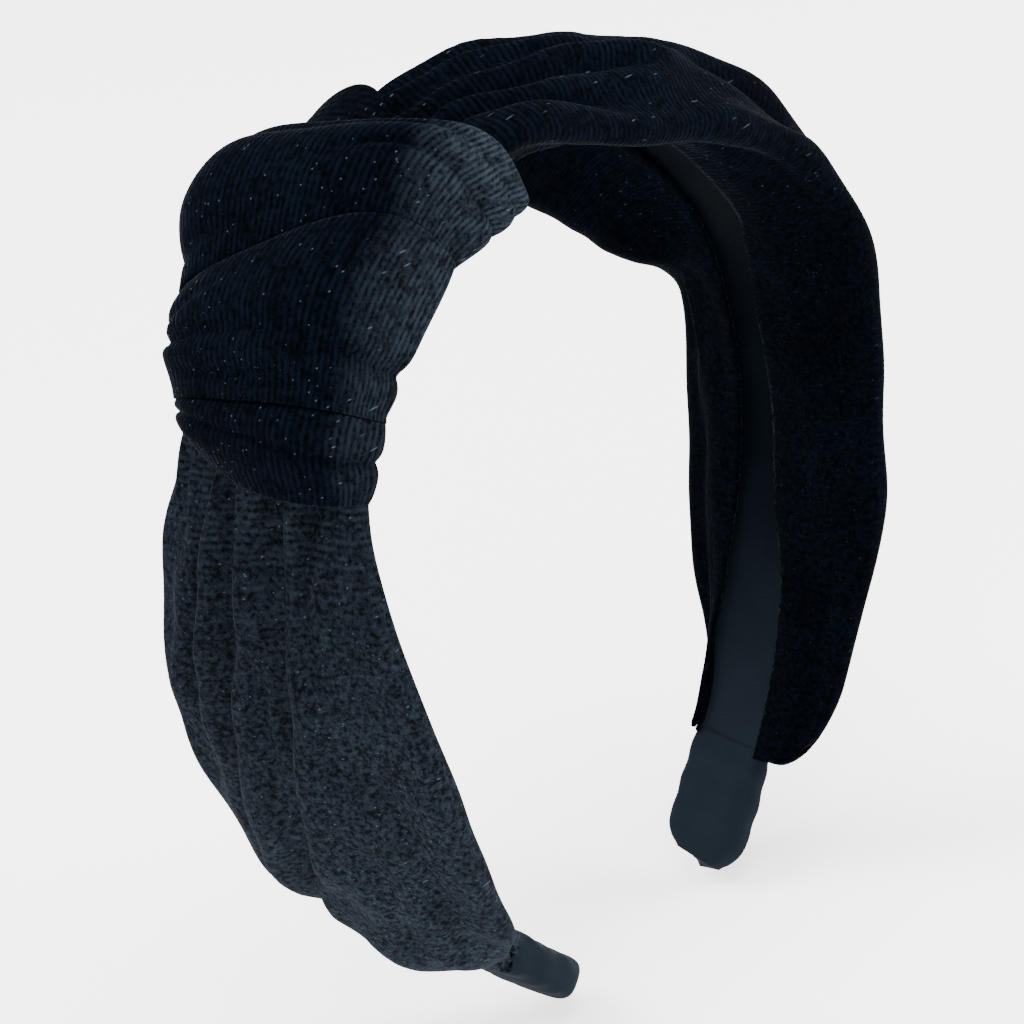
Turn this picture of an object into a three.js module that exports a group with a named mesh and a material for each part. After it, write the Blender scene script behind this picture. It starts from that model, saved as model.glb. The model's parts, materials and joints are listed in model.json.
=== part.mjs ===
// A knotted velvet headband. Millimetres, +Z up, X from ear to ear, Y from front (-) to back (+).
// The origin is the middle of the lining under the crown, where the headband sits on the head.
//
// Every piece is laid out in strip coordinates and then bent round the head:
//   s  along the band's mid-surface from the top of the crown, + towards the right arm
//   y  across the band, + towards the back
//   h  out from the mid-surface, away from the head

import * as THREE from 'three';

// ---- Driving dimensions -------------------------------------------------------------------

// Shape of the U, measured on the mid-surface of the plastic band
const crownRadius = 56;
const armRadius = 116;
const armSweep = 46; // degrees that each arm turns in below the ear

// Plastic band
const bandThickness = 1.8;
const bandHalfWidth = 11.5;
const bandTipHalfWidth = 6.5;
const bandTaperStart = 85; // s where the band starts to narrow
const bandTaperEnd = 150; // s from which it has its tip width
const tipCornerRadius = 4;
const tipSteps = [0.4, 0.7, 0.9, 1]; // where the sections lie round a tip's corner
const chamferShare = 0.25; // of a strip's thickness, along its edges

// Lining ribbon and foam padding
const liningHalfWidth = 5.5;
const liningEndHalfWidth = 6;
const liningThickness = 0.7;
const liningTaperStart = 118; // s from which the lining changes to its end width
const paddingEnd = 148; // s where the foam stops
const paddingHalfWidth = 9;
const paddingPinch = 2.4; // how much narrower the knot makes each side
const paddingEndHalfWidth = 5.2;
const paddingEdge = 0.3; // height of the foam's upright edges
const paddingFill = 0.86; // how much of the room over the band the foam takes, as a share
const paddingLeast = 0.6; // least height of the foam

// Velvet sleeve. A reach is how far the velvet goes past the band's full width, and at an arm's end
// it is how far it goes past the lining.
const velvetThickness = 1.2;
const sleeveEnd = 163; // s where the velvet stops
const crownReach = { front: 8.5, back: 8.5 };
const leftReach = { front: 13.5, back: 13, frontEnd: 6, backEnd: 8 };
const rightReach = { front: 10, back: 3.5, frontEnd: 5.5, backEnd: 3.2 };
const armReachFrom = 62; // s between which the crown's reach turns into the arm's
const armReachTo = 88;
const sleeveNarrowStart = 120; // s from which the arms' reach shrinks
const sleeveNarrowEnd = 167; // and where it would have its end value
const foldRadius = 2.3; // of the velvet's fold along both edges
const crownCrest = 8.9; // height of the sleeve over the crown
const shoulderCrest = 5.6; // how much higher it stands on the right shoulder
const leftCrest = 7.6; // its height on the arms
const rightCrest = 6.6;
const gatheredCrest = 6.4; // where the knot squeezes it
const endCrest = 3.6; // and at the sleeve's ends
const edgeLift = 2; // height of the velvet's edge folds where they hang free
const heldEdgeLift = 0.3; // and where they are held close to the band
const shoulderLift = 3.2; // how much higher the front edge stands on the right shoulder
const backDroop = 15; // how far the loose back edge hangs down beside the crown
const frontDroop = 3;
const droopLean = 8; // an edge that hangs this far leans 45 degrees
const droopSpread = 0.12; // how far a hanging edge moves out, as a share of its droop
const droopFrom = -2; // s between which the edges hang lowest
const droopTo = 58;
const looseFrom = -14; // s between which the velvet stands at its crown height
const looseTo = 66;
const shoulderFrom = 52; // s between which the right shoulder is highest
const shoulderTo = 66;
const looseEase = 24; // lengths in which these heights fade out
const shoulderEase = 18;
const edgeRoom = 3.3; // how far past the band the sleeve goes where the knot squeezes it
const gatherLength = 24; // in which the gathers spread out again below the knot
const puffLength = 8; // and above it
// How strongly the velvet's curves leave their ends, as shares of their width, drop or length
const crownPull = 0.6;
const dropPull = 0.22;
const edgePull = 0.3;
const edgeDropPull = 0.35;
const tuckPull = 0.4;
const topPoints = 7; // steps from the crest to an edge fold
const underPoints = 3; // and from there to the band's edge
const knotMargin = 4.5; // how far the squeeze reaches past the knot's edges on the centre line

// Knot, on the left shoulder. Edges are s on the centre line, skews are mm of s for each mm of y.
const knotTop = -20.5;
const knotTopSkew = -0.13;
const upperSeam = -38.5;
const upperSeamSkew = -0.26;
const lowerSeam = -55;
const lowerSeamSkew = 0.03;
const knotBottom = -64.5;
const knotBottomSkew = 0.1;
const knotClearance = 0.5; // between the sleeve and the turns round it
const openingStep = 1; // least distance between the points of a turn's opening
const knotDome = 0.2; // how much thinner a turn's top is towards its sides, as a share
const knotEdgeShare = 0.72; // a turn's thickness at its edges, as a share of its middle
// How thick each turn is on each side of the sleeve
const upperTurn = { front: 5, back: 6, top: 13.6, under: 1.8 };
const lowerTurn = { front: 2, back: 1.9, top: 11.6, under: 1.5 };
const hemTurn = { front: 1.3, back: 1.2, top: 6.2, under: 1.3 };
const turnSteps = [0, 0.1, 0.28, 0.5, 0.72, 0.9, 1]; // where a turn's sections lie along it

// Small fold tucked in behind the top of the knot: its length, thickness, distance from the knot,
// and the stretch of the sleeve's top that it lies on, from the back (0) to the front (1)
const tuckedFold = { length: 13, thickness: 5, edge: 0.4, space: 0.9, from: 0.12, to: 0.62 };
const tuckedSteps = [0.04, 0.2, 0.5, 0.8, 0.96]; // where its sections lie along it
const tuckedPoints = 9; // across each section

// Tip covers
const coverThickness = 0.8;

// How far each arm springs
const flexAt = 72; // s of the line that an arm flexes about
const openingAngle = 18; // degrees
const closingAngle = 4;

// Gap left between pieces that touch
const gap = 0.3;

// Spacing of the sections along the plain pieces and along the velvet
const rowStep = 9;
const velvetStep = 6;

// ---- Sizes that follow --------------------------------------------------------------------

const quarter = (crownRadius * Math.PI) / 2; // s where the crown's arc ends
const bandLength = quarter + armRadius * THREE.MathUtils.degToRad(armSweep);
const bandHalf = bandThickness / 2;
const liningInner = bandHalf + gap + liningThickness;
const gatheredHalfWidth = bandHalfWidth + edgeRoom; // of the sleeve inside the knot
const returnHeight = -(bandHalf + gap + velvetThickness / 2); // of the turned-in velvet
const coverStart = sleeveEnd + gap;

// ---- Strip coordinates --------------------------------------------------------------------

const { clamp, lerp, smoothstep } = THREE.MathUtils;

/** The point at s, y, h. */
function place(s, y, h) {
  const side = Math.sign(s) || 1;
  const length = Math.abs(s);
  if (length <= quarter) {
    const angle = length / crownRadius;
    const radius = crownRadius + h;
    const z = crownCentre + radius * Math.cos(angle);
    return new THREE.Vector3(side * radius * Math.sin(angle), y, z);
  }
  const angle = (length - quarter) / armRadius;
  const radius = armRadius + h;
  const x = crownRadius - armRadius + radius * Math.cos(angle);
  return new THREE.Vector3(side * x, y, crownCentre - radius * Math.sin(angle));
}

// Height of the centre of the crown's arc: the lining's level middle step lies at z = 0
const levelStep = (2 * flexAt) / stepCount(-flexAt, flexAt, rowStep);
const levelDrop = Math.cos(levelStep / 2 / crownRadius);
const crownCentre = -(crownRadius - liningInner) * levelDrop;

/** 1 between a and b, easing to 0 over the given length on each side. */
function plateau(s, a, b, ease) {
  return smoothstep(s, a - ease, a) * (1 - smoothstep(s, b, b + ease));
}

/** How many steps a stretch takes: an odd number if it crosses the top, so the middle one is level. */
function stepCount(from, to, step) {
  const count = Math.max(1, Math.ceil(Math.abs(to - from) / step));
  return from < 0 && to > 0 && count % 2 === 0 ? count + 1 : count;
}

/** A stretch's stations, none longer than step apart. */
function stations(from, to, step) {
  const count = stepCount(from, to, step);
  return Array.from({ length: count + 1 }, (_, i) => lerp(from, to, i / count));
}

// ---- Solids -------------------------------------------------------------------------------

/**
 * The closed solid whose skin runs through loops of [s, y, h] points, each loop counter-clockwise
 * in y and h. Its two end loops are capped, or joined to each other on a ring.
 */
function skin(loops, { ring = false, mirrored = false } = {}) {
  const count = loops[0].length;
  const side = mirrored ? -1 : 1;
  const positions = loops.flat().flatMap(([s, y, h]) => place(side * s, y, h).toArray());
  const faces = [];
  const strips = ring ? loops.length : loops.length - 1;
  for (let i = 0; i < strips; i++) {
    const a = i * count;
    const b = ((i + 1) % loops.length) * count;
    for (let j = 0; j < count; j++) {
      const k = (j + 1) % count;
      faces.push([a + j, a + k, b + k], [a + j, b + k, b + j]);
    }
  }
  if (!ring) {
    const last = (loops.length - 1) * count;
    const flat = (loop) => loop.map(([, y, h]) => new THREE.Vector2(y, h));
    const start = THREE.ShapeUtils.triangulateShape(flat(loops[0]), []);
    const end = THREE.ShapeUtils.triangulateShape(flat(loops.at(-1)), []);
    start.forEach(([a, b, c]) => faces.push([a, c, b]));
    end.forEach(([a, b, c]) => faces.push([last + a, last + b, last + c]));
  }
  const index = faces.flatMap(([a, b, c]) => (mirrored ? [a, c, b] : [a, b, c]));
  const geometry = new THREE.BufferGeometry();
  geometry.setAttribute('position', new THREE.Float32BufferAttribute(positions, 3));
  geometry.setIndex(index);
  geometry.computeVertexNormals();
  return geometry;
}

/**
 * Where a piece that stops at a flex line ends: the end leans away from the line, so that the arm
 * can open and close by its angles without the two ends meeting. towards is +1 for the end that
 * faces larger s.
 */
function flexEnd(line, towards, h) {
  const outwards = Math.abs(line) < quarter ? 1 + h / crownRadius : 1 + h / armRadius;
  const lean = THREE.MathUtils.degToRad(h > 0 ? openingAngle : closingAngle);
  const space = gap + Math.abs(h) * Math.tan(lean);
  return line - (towards * space) / (2 * outwards);
}

/** A length of a layer from a to b, whose section is outline(s), with flexing ends if asked. */
function layer(a, b, outline, { step = rowStep, flexA = false, flexB = false } = {}) {
  const rows = stations(a, b, step);
  return skin(
    rows.map((s, i) =>
      outline(s).map(([y, h]) => {
        if (flexA && i === 0) return [flexEnd(a, -1, h), y, h];
        if (flexB && i === rows.length - 1) return [flexEnd(b, 1, h), y, h];
        return [s, y, h];
      }),
    ),
  );
}

/** The three lengths of a layer that runs from end to end of the band. */
function threeLengths(end, outline, step) {
  return {
    left: layer(-end, -flexAt, outline, { step, flexB: true }),
    crown: layer(-flexAt, flexAt, outline, { step, flexA: true, flexB: true }),
    right: layer(flexAt, end, outline, { step, flexA: true }),
  };
}

// ---- Band, lining and padding -------------------------------------------------------------

/** Half the band's width at s, with rounded corners at the tips. */
function bandWidthAt(s) {
  const length = Math.abs(s);
  const taper = smoothstep(length, bandTaperStart, bandTaperEnd);
  const half = lerp(bandHalfWidth, bandTipHalfWidth, taper);
  const corner = clamp(length - (bandLength - tipCornerRadius), 0, tipCornerRadius);
  return half - tipCornerRadius + Math.sqrt(tipCornerRadius ** 2 - corner ** 2);
}

/** A flat strip's section with chamfered corners, counter-clockwise. */
function stripSection(half, low, high) {
  const c = (high - low) * chamferShare;
  return [
    [-half, high - c], [-half, low + c], [-half + c, low], [half - c, low],
    [half, low + c], [half, high - c], [half - c, high], [-half + c, high],
  ];
}

const bandOutline = (s) => stripSection(bandWidthAt(s), -bandHalf, bandHalf);

/** Half the lining's width at s. */
function liningWidthAt(s) {
  return lerp(liningHalfWidth, liningEndHalfWidth, smoothstep(Math.abs(s), liningTaperStart, bandTaperEnd));
}

const liningOutline = (s) => stripSection(liningWidthAt(s), -liningInner, -bandHalf - gap);

/** One arm's length of the band, with its rounded tip: side 1 on the right, -1 left. */
function bandArm(from, side) {
  const cornerStart = bandLength - tipCornerRadius;
  const straight = stations(from, cornerStart, rowStep);
  const corner = tipSteps.map((t) => cornerStart + tipCornerRadius * t);
  const loops = [...straight, ...corner].map((s, i) =>
    bandOutline(s).map(([y, h]) => [i === 0 ? flexEnd(from, -1, h) : s, y, h]),
  );
  return skin(loops, { mirrored: side < 0 });
}

/** How much the knot squeezes the sleeve at s, 0 to 1. */
function squeeze(s) {
  const below = smoothstep(s, knotBottom - gatherLength, knotBottom - knotMargin);
  const above = smoothstep(s, knotTop + knotMargin, knotTop + knotMargin + puffLength);
  return below * (1 - above);
}

/** How far the sleeve has narrowed towards its end at s, 0 to 1. */
const endShare = (s) => smoothstep(Math.abs(s), sleeveNarrowStart, sleeveNarrowEnd);

/** Height of the sleeve's crest over the mid-surface at s. */
function crestAt(s) {
  const onArm = lerp(s < 0 ? leftCrest : rightCrest, endCrest, endShare(s));
  const loose = lerp(onArm, crownCrest, plateau(s, looseFrom, looseTo, looseEase));
  const shoulder = shoulderCrest * plateau(s, shoulderFrom, shoulderTo, shoulderEase);
  return lerp(loose + shoulder, gatheredCrest, squeeze(s));
}

/** The foam's domed section, low enough to stay clear inside the sleeve. */
function paddingOutline(s) {
  const taper = smoothstep(Math.abs(s), bandTaperStart, paddingEnd);
  const half = lerp(paddingHalfWidth, paddingEndHalfWidth, taper) - paddingPinch * squeeze(s);
  const base = bandHalf + gap;
  const room = crestAt(s) - velvetThickness - gap - base;
  const rise = Math.max(paddingLeast, room * paddingFill) - paddingEdge;
  const dome = stations(0, Math.PI, Math.PI / 8).map((angle) => [
    half * Math.cos(angle),
    base + paddingEdge + rise * Math.sin(angle),
  ]);
  return [[-half, base], [half, base], ...dome];
}

// ---- Velvet sleeve ------------------------------------------------------------------------

/** How far the sleeve reaches from the middle at s, to the back (side 1) or the front (-1). */
function reachAt(s, side) {
  const way = side > 0 ? 'back' : 'front';
  const arm = s < 0 ? leftReach : rightReach;
  const past = lerp(crownReach[way], arm[way], smoothstep(Math.abs(s), armReachFrom, armReachTo));
  const full = bandHalfWidth + past;
  const end = liningEndHalfWidth + arm[`${way}End`];
  return lerp(lerp(full, end, endShare(s)), gatheredHalfWidth, squeeze(s));
}

/** The fold along one edge at s: its centre, and the way that the velvet runs out to it. */
function edgeFold(s, side) {
  const hang = plateau(s, droopFrom, droopTo, looseEase) * (1 - squeeze(s));
  const droop = (side > 0 ? backDroop : frontDroop) * hang;
  const free = 1 - Math.max(squeeze(s), endShare(s));
  const raised = side < 0 ? shoulderLift * plateau(s, shoulderTo, armReachTo, shoulderEase) : 0;
  const lift = lerp(heldEdgeLift, edgeLift, free) + raised;
  const across = reachAt(s, side) - foldRadius + droop * droopSpread;
  const lean = Math.atan2(droop, droopLean);
  const along = new THREE.Vector2(side * Math.cos(lean), -Math.sin(lean));
  const out = new THREE.Vector2(side * Math.sin(lean), Math.cos(lean));
  return { centre: new THREE.Vector2(side * across, lift - droop), along, out };
}

/** Points on a cubic stretch from a to b that leaves along da and arrives along db. */
function bend(a, da, b, db, count) {
  const curve = new THREE.CubicBezierCurve(a, a.clone().add(da), b.clone().sub(db), b);
  return curve.getPoints(count);
}

/** Half of the velvet's middle line: crest, out to the edge fold, and back in under the band. */
function halfSleeve(s, side) {
  const { centre, along, out } = edgeFold(s, side);
  const crest = new THREE.Vector2(0, crestAt(s) - velvetThickness / 2);
  const start = centre.clone().addScaledVector(out, foldRadius);
  const drop = crest.y - start.y;
  const leave = new THREE.Vector2(side * (Math.abs(start.x) * crownPull + drop * dropPull), 0);
  const arrive = along.clone().multiplyScalar(Math.abs(start.x) * edgePull + drop * edgeDropPull);
  const top = bend(crest, leave, start, arrive, topPoints);
  const fold = stations(Math.PI / 4, Math.PI, Math.PI / 4).map((turn) =>
    centre
      .clone()
      .addScaledVector(out, foldRadius * Math.cos(turn))
      .addScaledVector(along, foldRadius * Math.sin(turn)),
  );
  const end = new THREE.Vector2(side * (liningWidthAt(s) + gap), returnHeight);
  const corner = Math.min(bandWidthAt(s) + gap, Math.abs(fold.at(-1).x) - gap);
  const inner = new THREE.Vector2(side * corner, returnHeight);
  const tuck = fold.at(-1).distanceTo(inner) * tuckPull;
  const back = along.clone().multiplyScalar(-tuck);
  const reach = new THREE.Vector2(-side * tuck, 0);
  const under = bend(fold.at(-1), back, inner, reach, underPoints).slice(1);
  return [...top, ...fold, ...under, end];
}

/** The velvet's middle line at s, from its back inner edge over the crest to its front one. */
function sleeveLine(s) {
  const back = halfSleeve(s, 1).reverse();
  const front = halfSleeve(s, -1).slice(1);
  return [...back, ...front];
}

/** The directions to the right of a line at its points. */
function normalsOf(line) {
  return line.map((_, i) => {
    const before = line[Math.max(0, i - 1)];
    const after = line[Math.min(line.length - 1, i + 1)];
    const tangent = after.clone().sub(before).normalize();
    return new THREE.Vector2(tangent.y, -tangent.x);
  });
}

/** Points beside a line, at a distance to its right. */
function offsetLine(line, distance) {
  return normalsOf(line).map((normal, i) => line[i].clone().addScaledVector(normal, distance));
}

/** The sleeve's section: the middle line with the velvet's thickness. */
function sleeveOutline(s) {
  const line = sleeveLine(s);
  const outer = offsetLine(line, velvetThickness / 2);
  const inner = offsetLine(line, -velvetThickness / 2).reverse();
  return [...outer, ...inner].map((point) => [point.x, point.y]);
}

// ---- Knot ---------------------------------------------------------------------------------

/** Which points of a line to keep so that none is nearer than least to the one before. */
function spacedPoints(line, least) {
  const kept = [0];
  line.forEach((point, i) => {
    if (point.distanceTo(line[kept.at(-1)]) >= least) kept.push(i);
  });
  return kept;
}

const openingPoints = spacedPoints(sleeveLine((knotTop + knotBottom) / 2), openingStep);

/** The opening that the sleeve passes through at s: the sleeve's own line, pushed out. */
function sleeveOpening(s) {
  const line = offsetLine(sleeveLine(s), velvetThickness / 2 + knotClearance);
  return openingPoints.map((i) => line[i]);
}

/** How thick a turn is at each point of its opening, blended from the thickness of its sides. */
function turnThickness(opening, { front, back, top, under }) {
  const half = gatheredHalfWidth + knotClearance;
  return normalsOf(opening).map(({ x, y }, i) => {
    const dome = 1 - knotDome * (opening[i].x / half) ** 2;
    const side = x > 0 ? back : front;
    return side * Math.abs(x) + (y > 0 ? top * dome : under) * Math.abs(y);
  });
}

/** One turn of the knot: a ring between two slanted edges, rounded like a roll of cloth. */
function knotTurn(turn, start, startSkew, end, endSkew) {
  const at = (t, y) => lerp(end + endSkew * y + gap / 2, start + startSkew * y - gap / 2, t);
  const opening = sleeveOpening((start + end) / 2);
  const inside = (t) => opening.map(({ x }, i) => sleeveOpening(at(t, x))[i]);
  const outsideLoop = (t) => {
    const puff = lerp(knotEdgeShare, 1, Math.sqrt(1 - (2 * t - 1) ** 2));
    const low = inside(t);
    const thickness = turnThickness(low, turn);
    return normalsOf(low).map((normal, i) => {
      const point = low[i].clone().addScaledVector(normal, thickness[i] * puff);
      return [at(t, point.x), point.x, point.y];
    });
  };
  const insideLoop = (t) => inside(t).map((low) => [at(t, low.x), low.x, low.y]);
  const loops = [...turnSteps.map(outsideLoop), ...turnSteps.toReversed().map(insideLoop)];
  return skin(loops, { ring: true });
}

/** The part of the sleeve's line that runs over the top from its back fold to its front one. */
const topOf = (line) => line.slice(1 + underPoints + 4, 1 + underPoints + 4 + topPoints + 1);

/** The small fold tucked in behind the top of the knot: a pillow lying on the sleeve. */
function tuckedFoldSolid() {
  const { length, thickness, edge, space, from, to } = tuckedFold;
  const start = knotTop + Math.abs(knotTopSkew) * gatheredHalfWidth + space;
  const across = stations(0, 1, 1 / (tuckedPoints - 1));
  const loops = tuckedSteps.map((t) => {
    const s = start + length * t;
    const curve = new THREE.SplineCurve(topOf(sleeveLine(s)));
    const base = across.map((u) => curve.getPointAt(lerp(from, to, u)));
    const low = offsetLine(base, velvetThickness / 2 + knotClearance + gap);
    const high = normalsOf(base).map((normal, i) => {
      const rise = Math.sin(Math.PI * t) * Math.sin(Math.PI * across[i]);
      return low[i].clone().addScaledVector(normal, edge + thickness * rise);
    });
    return [...high, ...low.reverse()].map((point) => [s, point.x, point.y]);
  });
  return skin(loops);
}

// ---- Tip covers ---------------------------------------------------------------------------

/** A sock over the end of the band, open at its inner end: side 1 on the right arm, -1 left. */
function tipCover(side) {
  const cornerStart = bandLength - tipCornerRadius;
  const rounded = tipSteps.slice(1).map((t) => cornerStart + tipCornerRadius * t);
  const rows = [...stations(coverStart, cornerStart, rowStep), ...rounded];
  const shell = (grow) =>
    rows.map((s, i) => {
      const section = stripSection(bandWidthAt(s) + grow, -bandHalf - grow, bandHalf + grow);
      const past = i === rows.length - 1 ? grow : 0;
      return section.map(([y, h]) => [s + past, y, h]);
    });
  const cavity = shell(gap).reverse();
  return skin([...cavity, ...shell(gap + coverThickness)], { mirrored: side < 0 });
}

// ---- The headband -------------------------------------------------------------------------

const plastic = new THREE.MeshStandardMaterial({ color: 0x1b1d20, roughness: 0.45, metalness: 0 });
const foam = new THREE.MeshStandardMaterial({ color: 0x3a3d42, roughness: 0.95, metalness: 0 });
const velvet = new THREE.MeshStandardMaterial({ color: 0x0a1219, roughness: 0.95, metalness: 0 });
const ribbon = new THREE.MeshStandardMaterial({ color: 0x252b32, roughness: 0.6, metalness: 0 });

const headband = new THREE.Group();

/** Adds one named piece. */
function add(name, geometry, material) {
  const mesh = new THREE.Mesh(geometry, material);
  mesh.name = name;
  headband.add(mesh);
}

add('band_crown', layer(-flexAt, flexAt, bandOutline, { flexA: true, flexB: true }), plastic);
add('band_left', bandArm(flexAt, -1), plastic);
add('band_right', bandArm(flexAt, 1), plastic);

const lining = threeLengths(sleeveEnd, liningOutline, rowStep);
const padding = threeLengths(paddingEnd, paddingOutline, rowStep);
const sleeve = threeLengths(sleeveEnd, sleeveOutline, velvetStep);
for (const part of ['crown', 'left', 'right']) {
  add(`lining_${part}`, lining[part], ribbon);
  add(`padding_${part}`, padding[part], foam);
  add(`velvet_sleeve_${part}`, sleeve[part], velvet);
}

add('knot_upper_turn', knotTurn(upperTurn, knotTop, knotTopSkew, upperSeam, upperSeamSkew), velvet);
add('knot_lower_turn', knotTurn(lowerTurn, upperSeam, upperSeamSkew, lowerSeam, lowerSeamSkew), velvet);
add('knot_hem_turn', knotTurn(hemTurn, lowerSeam, lowerSeamSkew, knotBottom, knotBottomSkew), velvet);
add('knot_tucked_fold', tuckedFoldSolid(), velvet);

add('tip_cover_left', tipCover(-1), ribbon);
add('tip_cover_right', tipCover(1), ribbon);

export default headband;
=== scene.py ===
# %% [markdown]
# # A knotted velvet headband
# The headband is a springy plastic U with foam on top, covered in a loose velvet sleeve. A thick
# knot sits on one shoulder, a satin ribbon lines the inside, and satin socks cover the two tips.
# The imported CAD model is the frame: it holds the sizes and the bodies that move. Everything here
# is cloth made to fit round it.

# %% Load the frame
import json
import math

import bmesh
import bpy
import numpy as np
from mathutils import Matrix, Vector
from mathutils.bvhtree import BVHTree


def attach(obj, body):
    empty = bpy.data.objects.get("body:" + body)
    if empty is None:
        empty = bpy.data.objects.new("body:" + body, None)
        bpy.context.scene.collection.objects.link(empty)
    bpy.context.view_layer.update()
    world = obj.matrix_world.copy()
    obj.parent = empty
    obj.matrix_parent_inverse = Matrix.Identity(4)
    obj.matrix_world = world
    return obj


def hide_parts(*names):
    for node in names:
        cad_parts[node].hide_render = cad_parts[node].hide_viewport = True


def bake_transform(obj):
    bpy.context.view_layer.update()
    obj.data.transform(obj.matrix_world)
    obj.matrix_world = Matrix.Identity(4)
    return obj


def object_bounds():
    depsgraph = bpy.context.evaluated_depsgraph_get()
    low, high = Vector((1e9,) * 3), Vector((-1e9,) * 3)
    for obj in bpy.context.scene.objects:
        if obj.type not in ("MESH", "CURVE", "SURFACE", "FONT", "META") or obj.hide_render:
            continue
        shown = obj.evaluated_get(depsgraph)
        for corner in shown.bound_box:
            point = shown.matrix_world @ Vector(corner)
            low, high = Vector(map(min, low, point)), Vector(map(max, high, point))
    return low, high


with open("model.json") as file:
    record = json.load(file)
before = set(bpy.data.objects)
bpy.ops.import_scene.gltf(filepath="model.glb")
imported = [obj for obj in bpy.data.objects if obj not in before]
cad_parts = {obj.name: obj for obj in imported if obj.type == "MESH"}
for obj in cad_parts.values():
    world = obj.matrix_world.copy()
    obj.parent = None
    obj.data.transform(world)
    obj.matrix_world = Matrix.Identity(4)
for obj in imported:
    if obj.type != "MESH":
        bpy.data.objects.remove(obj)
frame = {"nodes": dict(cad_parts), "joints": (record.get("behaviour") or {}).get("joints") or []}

cad_box = [[value for value in corner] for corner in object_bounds()]
print("the CAD model's box in mm", [[round(1000 * value, 1) for value in corner] for corner in cad_box])

# %% [markdown]
# ## Strip coordinates
# A headband is easiest to shape as if it lay flat. Each point is given by s, its distance along the
# band from the top of the crown, y across it with the back of the head at +, and h out from the
# band's middle. `bend` then wraps the flat strip round the U: one arc over the crown and a gentler
# one down each arm. The left arm has negative s.

# %% Bend a flat strip round the head
MM = 0.001
CROWN_RADIUS = 56.0
ARM_RADIUS = 116.0
CROWN_END = CROWN_RADIUS * math.pi / 2
FLEX_AT = 72.0

flex_height = frame["joints"][0]["pos_m"][2] / MM
crown_centre = flex_height - CROWN_RADIUS * math.cos(FLEX_AT / CROWN_RADIUS)
print("the crown's arc is centred", round(crown_centre, 2), "mm from the lining")


def bend(s, y, h):
    """Points in metres, as an array whose last axis is x, y, z."""
    s, y, h = np.broadcast_arrays(*(np.asarray(v, float) for v in (s, y, h)))
    length = np.abs(s)
    on_crown = length <= CROWN_END
    angle = np.where(on_crown, length / CROWN_RADIUS, (length - CROWN_END) / ARM_RADIUS)
    radius = np.where(on_crown, CROWN_RADIUS, ARM_RADIUS) + h
    x = np.where(on_crown, radius * np.sin(angle), CROWN_RADIUS - ARM_RADIUS + radius * np.cos(angle))
    z = crown_centre + np.where(on_crown, radius * np.cos(angle), -radius * np.sin(angle))
    return np.stack([np.where(s < 0, -x, x), y, z], axis=-1) * MM


# %% [markdown]
# ## Courses
# A size that changes along the band, such as how far the velvet reaches to the front, is a course:
# a few values at places that matter, joined by a smooth curve through them.

# %% Smooth curves through a few values
def course(values):
    """A smooth function through {place: value}, level outside them."""
    places = np.array(sorted(values), float)
    levels = np.array([values[p] for p in sorted(values)], float)
    slopes = np.gradient(levels, places)
    slopes[[0, -1]] = 0

    def at(s):
        s = np.clip(s, places[0], places[-1])
        i = np.clip(np.searchsorted(places, s) - 1, 0, len(places) - 2)
        width = places[i + 1] - places[i]
        t = (s - places[i]) / width
        start = (1 + 2 * t) * (1 - t) ** 2 * levels[i] + t * (1 - t) ** 2 * width * slopes[i]
        end = t * t * (3 - 2 * t) * levels[i + 1] - t * t * (1 - t) * width * slopes[i + 1]
        return start + end

    return at


def ease(value, low, high):
    """0 at low, 1 at high, with a smooth step between."""
    t = np.clip((value - low) / (high - low), 0, 1)
    return t * t * (3 - 2 * t)


def waves(table, s, y=0.0):
    """Sine waves added up, each (height, turning per unit of s, turning per unit of y, start)."""
    return sum(height * np.sin(along * s + across * y + start)
               for height, along, across, start in table)


# %% [markdown]
# ## Cloth from a grid
# Every cloth piece starts as a flat grid, as real cloth does. Its points are then moved to where
# the cloth lies, and its UV map keeps the flat measurements in metres, so that ribs and weave keep
# their real spacing however the cloth is bent. A tube has its last column merged onto its first.
# A sheet needs two faces: `two_faces` makes a copy a cloth's thickness further in and lets both run
# together at the hems, which keeps sharp folds free of the spikes that an even Solidify grows there.

# %% Make a cloth piece
SAME_PLACE = 1e-6


def cloth(name, points, flat, thickness=0.0):
    """An object through points[row, column], with flat[row, column] as its UV map.

    The last column is merged onto the first.
    """
    rows, columns = points.shape[:2]
    bm = bmesh.new()
    bmesh.ops.create_grid(bm, x_segments=columns - 1, y_segments=rows - 1, size=1.0)
    uv = bm.loops.layers.uv.new("flat")
    bm.verts.ensure_lookup_table()
    spots = points.reshape(-1, 3)
    measures = flat.reshape(-1, 2)
    for face in bm.faces:
        for loop in face.loops:
            loop[uv].uv = measures[loop.vert.index]
    for vert, spot in zip(bm.verts, spots):
        vert.co = spot
    bmesh.ops.remove_doubles(bm, verts=bm.verts, dist=SAME_PLACE)
    bmesh.ops.recalc_face_normals(bm, faces=bm.faces)
    if thickness:
        bmesh.ops.solidify(bm, geom=bm.faces[:], thickness=thickness * MM)
    mesh = bpy.data.meshes.new(name)
    bm.to_mesh(mesh)
    bm.free()
    piece = bpy.data.objects.new(name, mesh)
    bpy.context.scene.collection.objects.link(piece)
    piece.data.polygons.foreach_set("use_smooth", [True] * len(mesh.polygons))
    print(name, len(mesh.polygons), "faces")
    return piece


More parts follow.
